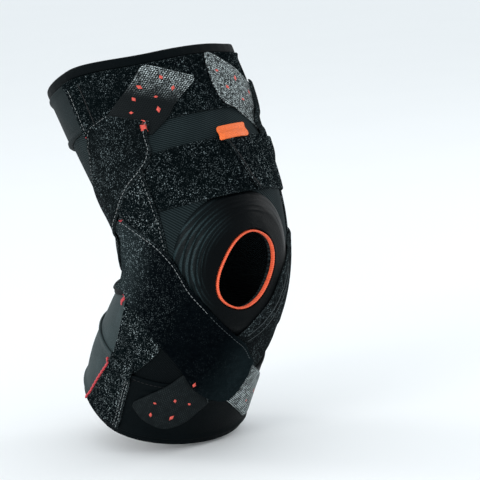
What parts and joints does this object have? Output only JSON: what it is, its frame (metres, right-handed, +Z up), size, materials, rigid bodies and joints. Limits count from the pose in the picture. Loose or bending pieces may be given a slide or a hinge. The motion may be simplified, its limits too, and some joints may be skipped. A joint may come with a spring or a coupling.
{
  "type": "knee support",
  "caption": "Wrap-around knee support in worn, slightly bent form: knitted sleeve with an oval kneecap opening, ring pad, side pockets and crossing hook-and-loop straps with mesh ends.",
  "frame": {"origin": "centre of the knee: the middle of the leg hollow at the height of the kneecap opening", "axes": "+Z up along the standing leg, -Y the way the kneecap faces, -X the outer side of the right leg"},
  "size_m": [0.1621, 0.1961, 0.3148],
  "materials": {
    "knit": "matt fine ribbed knit, near-black",
    "binding": "smooth matt folded edge fabric, black",
    "pad": "smooth padded jersey, black",
    "piping": "satin elastic lining band, bright orange-red",
    "velour": "matt loop velour, near-black with pale specks",
    "elastic": "matt woven elastic, dark grey",
    "wing": "matt fine velour, near-black with grey specks",
    "mesh": "grey dotted mesh over hook tape, with small coral marks",
    "cord": "satin twisted cord, crimson",
    "label": "satin woven tag, plain orange"
  },
  "bodies": {
    "root": {"sleeve": "knit", "top_binding": "binding", "bottom_binding": "binding", "patella_pad": "pad", "patella_piping": "piping", "thigh_strap_front": "velour", "thigh_strap_back": "elastic", "knee_strap_outer": "velour", "knee_strap_inner": "velour", "outer_side_panel": "velour", "inner_side_panel": "velour", "upper_outer_wing": "wing", "upper_outer_tab": "mesh", "upper_inner_wing": "wing", "upper_inner_tab": "mesh", "lower_outer_wing": "wing", "lower_outer_tab": "mesh", "lower_inner_wing": "wing", "lower_inner_tab": "mesh", "calf_strap_front": "binding", "calf_strap_back": "elastic", "calf_back_panel": "elastic", "calf_outer_panel": "velour", "calf_inner_panel": "velour", "outer_cord": "cord", "inner_cord": "cord", "label": "label"}
  },
  "joints": []
}
